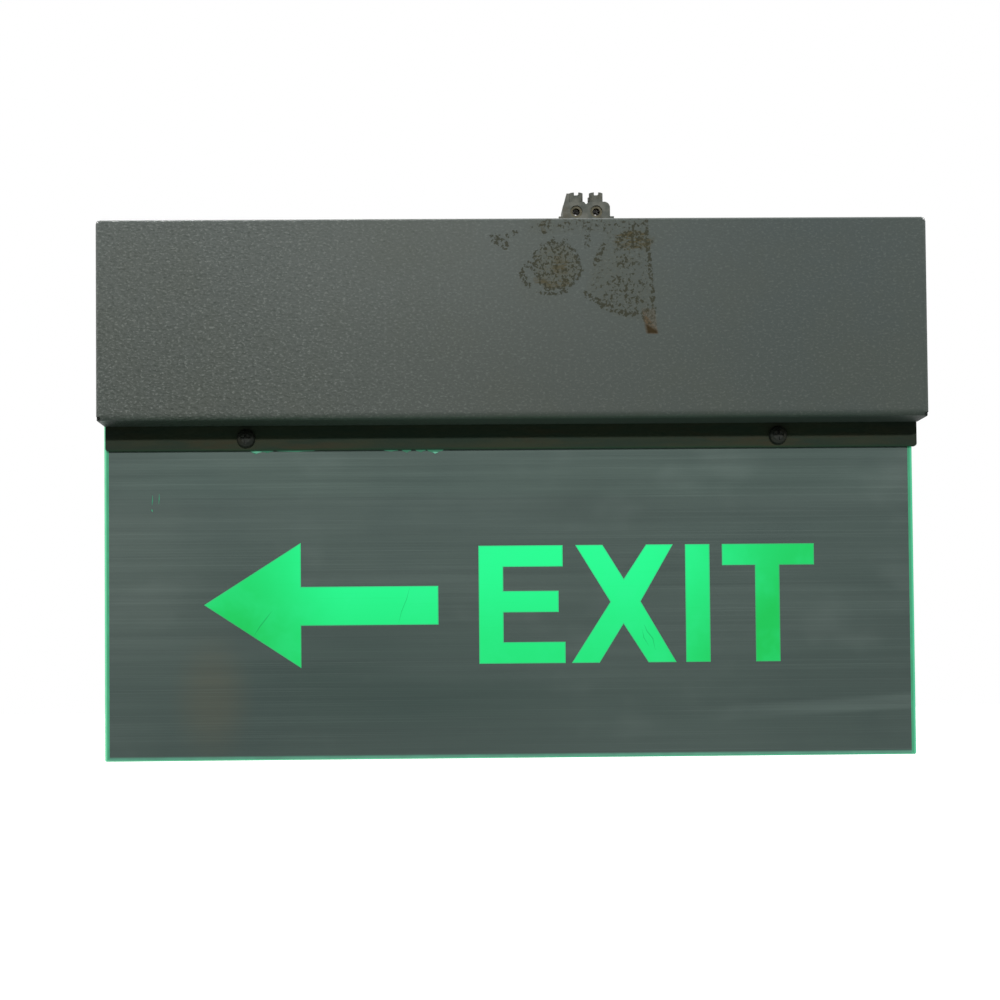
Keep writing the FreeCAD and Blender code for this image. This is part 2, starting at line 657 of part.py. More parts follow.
def transformer_frame():
    """Steel frame folded over the lamination stack, with a foot on each side."""
    inside = CORE_W / 2 + FRAME_FIT
    top = WALL_Y - SEAT_GAP - CORE_D - FRAME_FIT
    run = [(inside + FRAME_T + FRAME_FOOT, WALL_Y), (inside, WALL_Y), (inside, top), (-inside, top)]
    run += [(-inside, WALL_Y), (-inside - FRAME_T - FRAME_FOOT, WALL_Y)]
    frame = folded(run, FRAME_T, (FRAME_BEND,) * 4, CORE_STACK)
    frame.translate(V(TRANSFORMER_X, 0, -CORE_STACK / 2))
    return holes(frame, M3[0] / 2 + HOLE_GAP, frame_stud_points(), BACK, 3.0)


def transformer_nuts():
    lift = FRONT * (FRAME_T + SEAT_GAP)
    return [hex_nut(M3_NUT, M3[0], point + lift, FRONT) for point in frame_stud_points()]


def earth_nuts():
    """Two nuts on the earth stud, which grip the earth lead's tag between them."""
    seat = V(EARTH_AT[0], WALL_Y - SEAT_GAP, EARTH_AT[1])
    upper = seat + FRONT * (M4_NUT[1] + 0.8)
    return [hex_nut(M4_NUT, M4[0], point, FRONT) for point in (seat, upper)]


# ---------------------------------------------------------------- control board
def board_standoffs():
    """Clinched round standoffs, threaded through."""
    posts = []
    for point in standoff_points():
        post = rod(STANDOFF_R, point, point + FRONT * (STANDOFF_H - SEAT_GAP))
        posts.append(post.cut(rod(M3[0] / 2 + THREAD_GAP, point, point + FRONT * (STANDOFF_H + 1))))
    return posts


def control_board():
    board = block((BOARD_LEFT, BOARD_RIGHT), (BOARD_FRONT, BOARD_BACK), (-BOARD_H / 2, BOARD_H / 2))
    return holes(board, M3[0] / 2 + HOLE_GAP, standoff_points(), BACK, STANDOFF_H + 3 * BOARD_T)


def board_screws():
    lift = FRONT * (STANDOFF_H + BOARD_T + SEAT_GAP)
    return [cheese_screw(M3, 6.0, point + lift, BACK) for point in standoff_points()]


def on_board(x, z):
    """A point on the board's component side, measured from its left end and its middle height."""
    return V(BOARD_LEFT + x, BOARD_FRONT, z)


def board_capacitors():
    """Radial electrolytic capacitors with a rolled groove near the base."""
    cans = []
    for x, z, radius, height in ((20, 8, 5.0, 16.0), (20, -9, 4.0, 12.0), (76, 11, 4.0, 12.0)):
        groove = radius - 0.4
        profile = [(0, 0), (radius, 0), (radius, 1.6), (groove, 2.1), (radius, 2.6)]
        profile += [(radius, height - 0.5), (radius - 0.5, height), (0, height)]
        cans.append(turned(profile, on_board(x, z), FRONT))
    return cans


def board_relay():
    at = on_board(42, 7)
    relay = block((at.x - 10, at.x + 10), (at.y - 15.5, at.y), (at.z - 7.5, at.z + 7.5))
    return relay.makeChamfer(0.8, [e for e in relay.Edges if e.CenterOfMass.y < at.y - 15])


def board_inductor():
    """Drum-core choke: two flanges with the winding between them."""
    profile = [(0, 0), (6.0, 0), (6.0, 1.5), (5.2, 1.8), (5.2, 9.2), (6.0, 9.5), (6.0, 11.0), (0, 11.0)]
    return turned(profile, on_board(62, -10), FRONT)


def board_chips():
    """Dual in-line chips with a row of legs down each side."""
    chips = []
    for x in (40.0, 78.0):
        at = on_board(x, -11)
        chip = block((at.x - 4.8, at.x + 4.8), (at.y - 4.0, at.y - 0.6), (at.z - 3.1, at.z + 3.1))
        legs = []
        for i in range(4):
            left = at.x - 3.81 + 2.54 * i - 0.3
            for side in (-1, 1):
                legs.append(block((left, left + 0.6), (at.y - 2.2, at.y), (at.z + side * 3.1, at.z + side * 3.9)))
        chips.append(chip.fuse(legs).removeSplitter())
    return chips


def board_connectors():
    """Open-topped pin headers for the mains, battery and lamp leads."""
    headers = []
    for x, z, ways in ((7.0, 0.0, 3), (90.0, -3.0, 2), (62.0, 15.0, 2)):
        at = on_board(x, z)
        half = 1.25 * ways + 1.2
        shell = block((at.x - 2.9, at.x + 2.9), (at.y - 8.0, at.y), (at.z - half, at.z + half))
        shell = shell.cut(block((at.x - 2.1, at.x + 2.1), (at.y - 9.0, at.y - 1.5), (at.z - half + 0.8, at.z + half - 0.8)))
        pins = []
        for i in range(ways):
            z_pin = at.z + 2.5 * (i - (ways - 1) / 2)
            pins.append(block((at.x - 0.3, at.x + 0.3), (at.y - 6.5, at.y - 1.0), (z_pin - 0.3, z_pin + 0.3)))
        headers.append(shell.fuse(pins).removeSplitter())
    return headers


# ---------------------------------------------------------------- terminal block
def pole_xs():
    return [BLOCK_X - POLE_PITCH / 2, BLOCK_X + POLE_PITCH / 2]


def tower_points(z):
    return [V(x, BLOCK_Y + row, z) for x in pole_xs() for row in (-TOWER_ROW / 2, TOWER_ROW / 2)]


def terminal_block():
    """Two-pole screw connector snapped from a strip: rounded body on a foot, with a tower over each screw."""
    y = (BLOCK_Y - BLOCK_L / 2, BLOCK_Y + BLOCK_L / 2)
    top = ROOF_Z + BODY_TOP
    body = block((BLOCK_X - BODY_X, BLOCK_X + BODY_X), y, (ROOF_Z, top))
    shoulders = [e for e in body.Edges if e.CenterOfMass.z > top - 0.1 and abs(e.CenterOfMass.x - BLOCK_X) > BODY_X - 0.1]
    body = body.makeFillet(BODY_SHOULDER, shoulders)
    valley = [V(BLOCK_X - BODY_VALLEY, y[0], top), V(BLOCK_X, y[0], top - BODY_VALLEY), V(BLOCK_X + BODY_VALLEY, y[0], top)]
    body = body.cut(Part.Face(Part.makePolygon(valley + valley[:1])).extrude(V(0, BLOCK_L, 0)))
    body = body.fuse(block((BLOCK_X - FOOT_X, BLOCK_X + FOOT_X), (y[0], y[0] + FOOT_L), (ROOF_Z, ROOF_Z + FOOT_H)))
    tower_top = ROOF_Z + TOWER_TOP
    web_x = pole_xs()[0] - TOWER_BORE - WEB_T / 2
    web = [V(BLOCK_X - BODY_X, 0, top - BODY_SHOULDER), V(web_x - WEB_T, 0, tower_top), V(web_x, 0, tower_top)]
    web.append(V(web_x, 0, top - BODY_SHOULDER))
    web = Part.Face(Part.makePolygon(web + web[:1])).extrude(V(0, WEB_T, 0))
    for point in tower_points(ROOF_Z + LOBE_Z):
        body = body.fuse(rod(TOWER_R, point, V(point.x, point.y, tower_top)))
        if point.x < BLOCK_X:
            body = body.fuse(web.translated(V(0, point.y - WEB_T / 2, 0)))
    for x in pole_xs():
        axis = V(x, y[0] - 1, ROOF_Z + LOBE_Z)
        body = body.cut(rod(BARREL_R + SEAT_GAP, axis, axis + BACK * (BLOCK_L + 2)))
        notch = (tower_top - NOTCH_H, tower_top + 1)
        body = body.cut(block((x - NOTCH_W / 2, x + NOTCH_W / 2), (y[0] - 1, y[1] + 1), notch))
    for point in tower_points(ROOF_Z + LOBE_Z):
        body = body.cut(rod(TOWER_BORE, point, V(point.x, point.y, tower_top + 1)))
    seat = V(BLOCK_X, BLOCK_Y, ROOF_Z + BLOCK_SEAT)
    body = body.cut(rod(M25[1] / 2 + HOLE_GAP, seat, seat + UP * TOWER_TOP))
    body = body.cut(rod(M25[0] / 2 + HOLE_GAP, seat - UP * 2 * BLOCK_SEAT, seat))
    return body.removeSplitter()


def terminal_barrels():
    barrels = []
    for x in pole_xs():
        start = V(x, BLOCK_Y - BARREL_L / 2, ROOF_Z + LOBE_Z)
        end = start + BACK * BARREL_L
        barrel = rod(BARREL_R, start, end).cut(rod(BARREL_BORE, start, end))
        taps = [rod(1.5, p, p + UP * 4.0) for p in tower_points(start.z) if p.x == x]
        barrels.append(barrel.cut(taps))
    return barrels


def terminal_screws():
    """Slotted grub screws in the towers, which bite into the barrels."""
    screws = []
    for point in tower_points(ROOF_Z + LOBE_Z + BARREL_BORE - 0.4):
        profile = [(0, 0), (1.0, 0), (1.4, 0.5), (1.4, 4.6), (1.8, 4.6), (1.8, 6.2), (0, 6.2)]
        screw = turned(profile, point, UP)
        slot = block((point.x - 2, point.x + 2), (point.y - 0.3, point.y + 0.3), (point.z + 5.4, point.z + 7))
        screws.append(screw.cut(slot))
    return screws


def terminal_fixing_screw():
    seat = V(BLOCK_X, BLOCK_Y, ROOF_Z + BLOCK_SEAT + SEAT_GAP)
    return cheese_screw(M25, BLOCK_SEAT + 2 * SHEET, seat, DOWN)


def cable_grommet():
    """Rubber grommet with a groove that grips the roof sheet."""
    groove_r = GROMMET_HOLE_R - SEAT_GAP
    low, high = -GROMMET_FLANGE - SEAT_GAP, SHEET + GROMMET_FLANGE + SEAT_GAP
    edge = GROMMET_FLANGE_R - 0.6
    profile = [(GROMMET_BORE_R, low), (edge, low), (GROMMET_FLANGE_R, low + 0.8), (GROMMET_FLANGE_R, -SEAT_GAP)]
    profile += [(groove_r, -SEAT_GAP), (groove_r, SHEET + SEAT_GAP), (GROMMET_FLANGE_R, SHEET + SEAT_GAP)]
    profile += [(GROMMET_FLANGE_R, high - 0.8), (edge, high), (GROMMET_BORE_R, high)]
    return turned(profile, V(GROMMET_X, BLOCK_Y, ROOF_Z - SHEET), UP)


# ---------------------------------------------------------------- test switch and indicator
def test_switch():
    """Switch body: bezel outside the sheet, barrel through it, closed body and two tags inside."""
    bezel, face = SWITCH_BEZEL_T, 0.0
    inside = -(SWITCH_BEZEL_T + SWITCH_BARREL_L)
    rear = inside - SWITCH_BODY_L
    lip = -BUTTON_LIP
    bore_end = SWITCH_BORE_END - SWITCH_FACE
    cap_bore, collar_bore = BUTTON_R + BUTTON_FIT, COLLAR_R + BUTTON_FIT
    profile = [(cap_bore, face), (SWITCH_BEZEL_R - 0.6, face), (SWITCH_BEZEL_R, -0.6), (SWITCH_BEZEL_R, -bezel + SEAT_GAP)]
    profile += [(SWITCH_BARREL_R, -bezel + SEAT_GAP), (SWITCH_BARREL_R, inside), (SWITCH_BODY_R, inside)]
    profile += [(SWITCH_BODY_R, rear), (0, rear), (0, bore_end), (collar_bore, bore_end), (collar_bore, lip), (cap_bore, lip)]
    body = turned(profile, V(SWITCH_FACE, SWITCH_Y, 0), RIGHT)
    back = SWITCH_FACE + rear
    tags = [block((back - 5.0, back + 0.5), (SWITCH_Y - 1.0, SWITCH_Y + 1.0), (z - 0.25, z + 0.25)) for z in (-2.5, 2.5)]
    return body.fuse(tags)


def test_switch_nut():
    """Thin hexagon nut that clamps the switch from inside the box."""
    seat = V(SIDE_IN_X - SEAT_GAP, SWITCH_Y, 0)
    return hex_nut((SWITCH_HOLE_R * 2.75, 2.0), SWITCH_BARREL_R * 2, seat, LEFT)


def test_button():
    """Push button: domed cap, retaining collar and the stem that works the contact."""
    collar_front = -BUTTON_LIP - SEAT_GAP
    collar_back = collar_front - BUTTON_COLLAR_L
    stem_end = SWITCH_BORE_END - SWITCH_FACE + BUTTON_TRAVEL + 0.2
    profile = [(0, BUTTON_OUT), (BUTTON_R - 0.8, BUTTON_OUT), (BUTTON_R, BUTTON_OUT - 0.8), (BUTTON_R, collar_front)]
    profile += [(COLLAR_R, collar_front), (COLLAR_R, collar_back), (BUTTON_STEM_R, collar_back)]
    profile += [(BUTTON_STEM_R, stem_end), (0, stem_end)]
    return turned(profile, V(SWITCH_FACE, SWITCH_Y, 0), RIGHT)


def test_spring():
    """Compression spring round the button's stem, its round wire drawn with eight sides."""
    coil_r = (BUTTON_STEM_R + COLLAR_R) / 2
    height = SPRING_L - 2 * SPRING_WIRE_R - SEAT_GAP
    helix = Part.makeHelix(height / SPRING_TURNS, height, coil_r)
    corners = [math.pi / 4 * i for i in range(9)]
    section = [V(coil_r + SPRING_WIRE_R * math.cos(a), 0, SPRING_WIRE_R * math.sin(a)) for a in corners]
    wire = Part.makePolygon(section)
    coil = Part.Wire(helix.Edges).makePipeShell([wire], True, True)
    return placed(coil, V(SWITCH_BORE_END + SPRING_WIRE_R + SEAT_GAP, SWITCH_Y, 0), RIGHT)


def indicator_clip():
    """Plastic bezel clip that holds the charge indicator in the side of the box."""
    outer = INDICATOR_R + CLIP_WALL
    bore = INDICATOR_R + SEAT_GAP
    profile = [(bore, 1.2), (outer + 0.6, 1.2), (outer + 1.2, 0.6), (outer + 1.2, SEAT_GAP), (outer, SEAT_GAP)]
    profile += [(outer, -4.0), (bore, -4.0)]
    return turned(profile, V(SIDE_X, SWITCH_Y, INDICATOR_Z), RIGHT)


def indicator_lamp():
    """Five-millimetre indicator lamp with a rounded nose and a rim behind the clip."""
    nose = Part.Arc(V(INDICATOR_R, 0, 1.5), V(INDICATOR_R * 0.75, 0, 3.1), V(0.5, 0, 3.8))
    corners = [V(0.5, 0, 3.8), V(0, 0, 3.8), V(0, 0, -5.4), V(INDICATOR_R + 0.4, 0, -5.4), V(INDICATOR_R + 0.4, 0, -4.2)]
    corners += [V(INDICATOR_R, 0, -4.2), V(INDICATOR_R, 0, 1.5)]
    outline = Part.Wire([nose.toShape()] + Part.makePolygon(corners).Edges)
    lamp = Part.Face(outline).revolve(V(0, 0, 0), V(0, 0, 1), 360)
    return placed(lamp, V(SIDE_X, SWITCH_Y, INDICATOR_Z), RIGHT)


# ---------------------------------------------------------------- export
PIECES = (
    back_box, front_cover, cover_screws, cover_clinch_nuts,
    light_panel, face_sheet, rear_sheet, clamp_strip, clamp_screws, clamp_nuts, panel_bracket, bracket_rivets,
    led_carrier, led_board, leds,
    battery_pack, battery_straps, battery_strap_nuts,
    transformer_core, transformer_bobbin, transformer_winding, transformer_frame, transformer_nuts, earth_nuts,
    board_standoffs, control_board, board_screws, board_capacitors, board_relay, board_inductor, board_chips,
    board_connectors,
    terminal_block, terminal_barrels, terminal_screws, terminal_fixing_screw, cable_grommet,
    test_switch, test_switch_nut, test_button, test_spring, indicator_clip, indicator_lamp,
)


def main():
    os.makedirs("parts", exist_ok=True)
    for piece in PIECES:
        shape = piece()
        if isinstance(shape, list):
            shape = Part.makeCompound(shape)
        shape.exportStep("parts/" + piece.__name__ + ".step")


main()
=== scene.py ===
import math

import bmesh
import bpy
from mathutils import Matrix, Vector


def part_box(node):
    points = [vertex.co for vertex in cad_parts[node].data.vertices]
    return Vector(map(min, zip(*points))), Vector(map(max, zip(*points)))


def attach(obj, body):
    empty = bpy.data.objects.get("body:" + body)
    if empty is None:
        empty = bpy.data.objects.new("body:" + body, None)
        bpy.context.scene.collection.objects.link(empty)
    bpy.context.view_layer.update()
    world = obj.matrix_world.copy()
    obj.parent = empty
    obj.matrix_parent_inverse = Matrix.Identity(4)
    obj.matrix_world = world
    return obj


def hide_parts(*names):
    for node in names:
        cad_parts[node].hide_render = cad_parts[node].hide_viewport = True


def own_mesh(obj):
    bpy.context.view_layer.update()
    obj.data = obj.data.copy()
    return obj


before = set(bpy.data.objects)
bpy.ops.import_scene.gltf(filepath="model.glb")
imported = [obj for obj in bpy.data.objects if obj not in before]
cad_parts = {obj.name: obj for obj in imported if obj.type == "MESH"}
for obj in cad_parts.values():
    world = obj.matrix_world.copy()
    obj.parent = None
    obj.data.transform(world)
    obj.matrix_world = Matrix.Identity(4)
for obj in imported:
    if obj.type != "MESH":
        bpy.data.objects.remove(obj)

MM = 0.001
PER_MM = 1 / MM
WHITE, BLACK = (1, 1, 1, 1), (0, 0, 0, 1)
scene = bpy.context.scene
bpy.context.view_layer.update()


# ---------------------------------------------------------------- node tools
def srgb(red, green, blue):
    """A colour as a picture shows it, 0 to 255, as the shader's linear numbers."""
    def linear(c):
        c = c / 255
        return c / 12.92 if c <= 0.04045 else ((c + 0.055) / 1.055) ** 2.4
    return (linear(red), linear(green), linear(blue), 1.0)


class Value:
    """A socket of a material's tree that can be added, multiplied and compared."""

    def __init__(self, tree, socket):
        self.tree = tree
        self.socket = socket

    def math(self, operation, *others, clamp=False):
        node = self.tree.nodes.new("ShaderNodeMath")
        node.operation = operation
        node.use_clamp = clamp
        for index, item in enumerate((self,) + others):
            plug(self.tree, node.inputs[index], item)
        return Value(self.tree, node.outputs[0])

    def __add__(self, other):
        return self.math("ADD", other)

    def __sub__(self, other):
        return self.math("SUBTRACT", other)

    def __mul__(self, other):
        return self.math("MULTIPLY", other)

    def __rsub__(self, other):
        return (self * -1) + other

    def top(self, other):
        return self.math("MAXIMUM", other)

    def low(self, other):
        return self.math("MINIMUM", other)

    def step(self, start, end):
        """0 before start, 1 after end, smooth between."""
        node = self.tree.nodes.new("ShaderNodeMapRange")
        node.interpolation_type = "SMOOTHSTEP"
        low, high = (start, end) if start < end else (end, start)
        plug(self.tree, node.inputs["Value"], self)
        node.inputs["From Min"].default_value = low
        node.inputs["From Max"].default_value = high
        node.inputs["To Min"].default_value = 0.0 if start < end else 1.0
        node.inputs["To Max"].default_value = 1.0 if start < end else 0.0
        return Value(self.tree, node.outputs[0])

    def span(self, low, high):
        """0..1 stretched to low..high."""
        return self * (high - low) + low


def plug(tree, socket, item):
    if isinstance(item, Value):
        tree.links.new(item.socket, socket)
    else:
        socket.default_value = item


class Finish:
    """One procedural material: its shader, its coordinates and its patterns."""

    def __init__(self, name, **sockets):
        self.material = bpy.data.materials.new(name)
        self.material.use_nodes = True
        self.tree = self.material.node_tree
        self.shader = self.tree.nodes["Principled BSDF"]
        place = self.tree.nodes.new("ShaderNodeTexCoord")
        self.place = Value(self.tree, place.outputs["Object"])
        split = self.tree.nodes.new("ShaderNodeSeparateXYZ")
        plug(self.tree, split.inputs[0], self.place)
        self.x, self.y, self.z = (Value(self.tree, split.outputs[i]) for i in range(3))
        for key, value in sockets.items():
            self.set(key.replace("_", " "), value)

    def set(self, socket, value):
        plug(self.tree, self.shader.inputs[socket], value)

    def stretched(self, x, y, z):
        node = self.tree.nodes.new("ShaderNodeMapping")
        plug(self.tree, node.inputs["Vector"], self.place)
        node.inputs["Scale"].default_value = (x, y, z)
        return Value(self.tree, node.outputs[0])

    def noise(self, scale, detail=2.0, rough=0.5, place=None, twist=0.0):
        node = self.tree.nodes.new("ShaderNodeTexNoise")
        plug(self.tree, node.inputs["Vector"], place or self.place)
        node.inputs["Scale"].default_value = scale
        node.inputs["Detail"].default_value = detail
        node.inputs["Roughness"].default_value = rough
        node.inputs["Distortion"].default_value = twist
        return Value(self.tree, node.outputs["Fac"])

    def cells(self, scale, place=None):
        node = self.tree.nodes.new("ShaderNodeTexVoronoi")
        node.feature = "SMOOTH_F1"
        plug(self.tree, node.inputs["Vector"], place or self.place)
        node.inputs["Scale"].default_value = scale
        return Value(self.tree, node.outputs["Distance"])

    def blend(self, amount, first, second):
        node = self.tree.nodes.new("ShaderNodeMix")
        node.data_type = "RGBA"
        plug(self.tree, node.inputs[0], amount)
        plug(self.tree, node.inputs[6], first)
        plug(self.tree, node.inputs[7], second)
        return Value(self.tree, node.outputs[2])

    def relief(self, height, depth, strength=1.0):
        node = self.tree.nodes.new("ShaderNodeBump")
        node.inputs["Distance"].default_value = depth
        plug(self.tree, node.inputs["Strength"], strength)
        plug(self.tree, node.inputs["Height"], height)
        self.set("Normal", Value(self.tree, node.outputs[0]))

    def half(self, ax, az, bx, bz, soft):
        """1 on the left of the line from a to b, seen from the front, in mm."""
        dx, dz = bx - ax, bz - az
        size = math.hypot(dx, dz)
        side = (self.z * PER_MM - az) * (dx / size) - (self.x * PER_MM - ax) * (dz / size)
        return side.step(-soft, soft)

    def streak(self, ax, az, bx, bz, width):
        """1 on the line from a to b, fading out at width from it, in mm."""
        dx, dz = bx - ax, bz - az
        across = self.x * PER_MM - ax
        along = self.z * PER_MM - az
        share = (across * dx + along * dz).math("MULTIPLY", 1 / (dx * dx + dz * dz), clamp=True)
        off_x = across - share * dx
        off_z = along - share * dz
        return (off_x * off_x + off_z * off_z).math("SQRT").step(width * 1.25, width * 0.5)

    def streaks(self, first, *others):
        """The highest of several streaks."""
        drawn = self.streak(*first)
        for other in others:
            drawn = drawn.top(self.streak(*other))
        return drawn

    def spot(self, cx, cz, rx, rz):
        """Distance from a point of the front, as a share of the radii."""
        across = (self.x * PER_MM - cx) * (1 / rx)
        along = (self.z * PER_MM - cz) * (1 / rz)
        return (across * across + along * along).math("SQRT")


def plain(name, first, second, scale, rough=(0.35, 0.6), metal=0.0, depth=0.00005,
          grain=None, grime=0.0, **sockets):
    """A material with two tones, an uneven gloss and a fine relief."""
    m = Finish(name, Metallic=metal, **sockets)
    tone = m.noise(scale, 4.0, 0.6)
    colour = m.blend(tone.step(0.3, 0.7), srgb(*first), srgb(*second))
    if grime:
        dust = m.noise(scale * 0.35, 5.0, 0.7)
        colour = m.blend(dust.step(0.5, 0.72) * grime, colour, srgb(74, 66, 50))
    m.set("Base Color", colour)
    m.set("Roughness", m.noise(scale * 2.2, 3.0).span(*rough))
    m.relief(m.noise(grain or scale * 6, 3.0), depth)
    return m.material


# ---------------------------------------------------------------- materials
def textured_paint():
    """The cover's powder coat: leather relief on the left, tape residue and rust at the top."""
    m = Finish("textured_paint", Specular_IOR_Level=0.16)
    # The coat: lighter to the top, darker and smoother to the right, with painted sparkle
    # highlights and painted shade in its grain, strongest on the left.
    height = m.z.step(-0.045, 0.045)
    along = m.x.step(-0.03, 0.14)
    left = m.x.step(0.030, -0.150)
    tone = m.blend(height, srgb(74, 80, 75), srgb(88, 94, 90))
    tone = m.blend(along * 0.9, tone, m.blend(height, srgb(67, 75, 71), srgb(70, 79, 77)))
    ridge = m.noise(1000, 2.0, 0.55, place=m.stretched(0.75, 1.0, 1.25), twist=0.5)
    # Painted sparkle highlights on the grain's crests, then painted shade in its hollows.
    tone = m.blend(ridge.step(0.52, 0.70) * left.span(0.14, 0.50), tone, srgb(134, 140, 134))
    tone = m.blend(ridge.step(0.46, 0.30) * left.span(0.10, 0.34), tone, srgb(52, 58, 54))
    cloud = m.noise(28, 3.0, 0.6)
    tone = m.blend(cloud.step(0.4, 0.7) * 0.12, tone, srgb(78, 81, 66))

    # Where the residue lies, on the front only. Places and radii are in mm.
    front = m.y.step(-0.0478, -0.0486)
    grain = m.noise(900, 3.0, 0.65)
    brushed = m.noise(700, 3.0, 0.6, place=m.stretched(0.45, 1.0, 1.5), twist=0.4)
    speck = m.noise(680, 3.0, 0.62, twist=0.4)
    clump = m.noise(240, 3.0, 0.6)
    edge = m.noise(160, 3.0, 0.7) * 1.1 - 0.55
    disc = m.spot(18.6, 21.6, 9.2, 9.8) + edge * 0.75
    ring = (disc - 1.0).math("ABSOLUTE").step(0.26, 0.06)
    inside = disc.step(1.1, 0.85)
    bowl = (m.spot(16.4, 18.5, 11.9, 8.2) + edge * 0.35 - 1.0).math("ABSOLUTE").step(0.20, 0.05)
    bowl = bowl * m.x.step(0.011, 0.006).top(m.z.step(0.0115, 0.0105)) * m.z.step(0.026, 0.023)
    triangle = m.half(60.9, -8.0, 57.4, 42.0, 0.35) * m.half(37.2, 31.1, 30.6, 11.0, 2.0)
    triangle = triangle * m.half(30.6, 11.0, 41.1, 1.5, 1.2) * m.half(41.1, 1.2, 58.1, -2.4, 1.0)
    hem = m.streaks((31.4, 9.8, 38.1, 5.0, 1.9), (38.1, 4.7, 47.9, 1.2, 1.7),
                    (47.9, 1.0, 56.3, 3.0, 1.6), (53.4, 2.0, 57.6, -3.0, 1.4))
    border = m.streak(56.5, 40.3, 59.6, 2.0, 1.2)
    wisps = m.streaks((38.3, 30.4, 35.2, 23.0, 1.6), (32.0, 40.0, 31.6, 30.2, 1.5),
                      (-7.6, 34.2, -3.8, 30.6, 2.6), (-2.0, 34.6, 1.2, 36.2, 1.4),
                      (13.0, 40.0, 13.4, 36.4, 1.5), (50.0, 39.0, 57.0, 40.0, 1.9))
    smear = (m.spot(51.0, 32.6, 8.6, 4.4) + edge * 0.9).step(1.15, 0.7)
    middle = (m.spot(47.0, 23.4, 5.0, 3.6) + edge * 0.8).step(1.2, 0.6)
    lower = (m.spot(47.5, 11.0, 11.0, 9.0) + edge * 0.6).step(1.2, 0.7)
    top_specks = m.z.step(0.0335, 0.0385) * m.x.step(0.004, 0.010) * m.x.step(0.058, 0.056)

    # How thickly its specks lie in each place, and the specks themselves.
    density = (ring * 0.66).top(inside * 0.47).top(bowl * 0.66).top(triangle * 0.22)
    density = density.top(hem * 0.66).top(border * 0.64).top(wisps * 0.58).top(smear * 0.62)
    density = density.top(middle * 0.56).top(lower * triangle * 0.44).top(top_specks * 0.30)
    level = speck + clump * 0.28 + density * 0.25
    spots = level.step(0.768, 0.828) * density.step(0.05, 0.30)

    # Its thin film between the specks, and the brown cores.
    haze = (inside * 0.8).top(smear).top(middle * 0.6).top(triangle * 0.35).top(top_specks * 0.3)
    tone = m.blend(haze * grain.step(0.32, 0.66) * 0.42 * front, tone, srgb(92, 88, 66))
    core = (m.spot(20.2, 21.8, 5.0, 5.4) + edge).step(1.1, 0.4)
    core = core.top(m.streaks((10.4, 16.0, 16.0, 14.0, 1.9), (16.0, 14.0, 22.4, 14.6, 1.7),
                              (55.8, 31.0, 57.4, 29.6, 1.4)))
    core = core.top(smear * brushed.step(0.44, 0.60))
    core = core.top(m.streak(12.8, 39.8, 13.2, 37.0, 1.1) * 0.8)
    tone = m.blend(core * brushed.step(0.36, 0.62) * 0.74 * front, tone, srgb(72, 64, 36))
    tone = m.blend(spots * 0.80 * front, tone, m.blend(clump, srgb(44, 46, 36), srgb(62, 60, 44)))

    # The tail of the triangle: stain, rust at its tip, and a lighter rust beside the tip.
    tail = m.half(61.2, -8.0, 59.9, 4.0, 0.5) * m.half(54.6, 4.0, 56.6, -7.2, 0.9)
    tail = tail * m.half(54.0, -7.0, 62.0, -7.2, 0.5) * m.z.step(0.0042, 0.0025)
    stain = m.blend(grain.step(0.40, 0.62), srgb(62, 58, 44), srgb(92, 90, 80))
    tone = m.blend(tail * front * 0.72, tone, stain)
    tip = tail * (1 - m.half(55.0, -2.2, 61.0, -6.0, 0.7))
    tone = m.blend(tip * front * 0.92, tone, srgb(50, 38, 16))
    glow = (1 - m.half(54.6, 2.4, 60.4, -4.8, 0.8)) * tail * (1 - tip)
    tone = m.blend(glow * front * grain.step(0.4, 0.6) * 0.6, tone, srgb(98, 74, 44))

    # The lower bend and the underside, out of the light, and the lit crest of the upper bend.
    shade = m.z.step(-0.0385, -0.0425) * front
    tone = m.blend(shade * 0.42, tone, srgb(38, 50, 42))
    beneath = m.z.step(-0.0408, -0.0422) * m.y.step(-0.0498, -0.0450)
    tone = m.blend(beneath * 0.72, tone, srgb(16, 28, 22))
    crest = m.z.step(0.0408, 0.0425)
    tone = m.blend(crest * crest * left.span(0.40, 0.75), tone, srgb(156, 161, 158))
    m.set("Base Color", tone)
    dull = spots.top(tip).top(haze * 0.5)
    m.set("Roughness", left.span(0.64, 0.46) + dull * 0.25)

    # The relief: leather cells and grain, strongest on the left.
    leather = m.cells(640, place=m.stretched(0.8, 1.0, 1.3)) * 0.9
    leather = leather + ridge * 0.9
    uneven = m.noise(16, 2.0).step(0.35, 0.65)
    strength = (left * 0.80 + uneven * 0.12 + 0.08).low(1.0)
    m.relief(leather, 0.0006, strength)
    return m.material


def strip_paint():
    """The clamp strip's dark, stained coat, greener at its foot, where the panel lights it."""
    m = Finish("strip_paint", Specular_IOR_Level=0.02)
    long_way = m.stretched(0.25, 1.0, 1.6)
    stain = m.noise(150, 4.0, 0.65, place=long_way)
    tone = m.blend(stain.step(0.35, 0.7), srgb(42, 51, 43), srgb(50, 54, 43))
    brown = m.noise(60, 4.0, 0.7, place=long_way)
    tone = m.blend(brown.step(0.52, 0.7) * 0.45, tone, srgb(60, 50, 38))
    foot = m.z.step(-0.0520, -0.0531)
    tone = m.blend(foot * 0.45, tone, srgb(22, 58, 40))
    m.set("Base Color", tone)
    m.set("Roughness", m.noise(300, 3.0).span(0.55, 0.75))
    m.relief(m.cells(700) + m.noise(900, 3.0), 0.00012, 0.5)
    return m.material


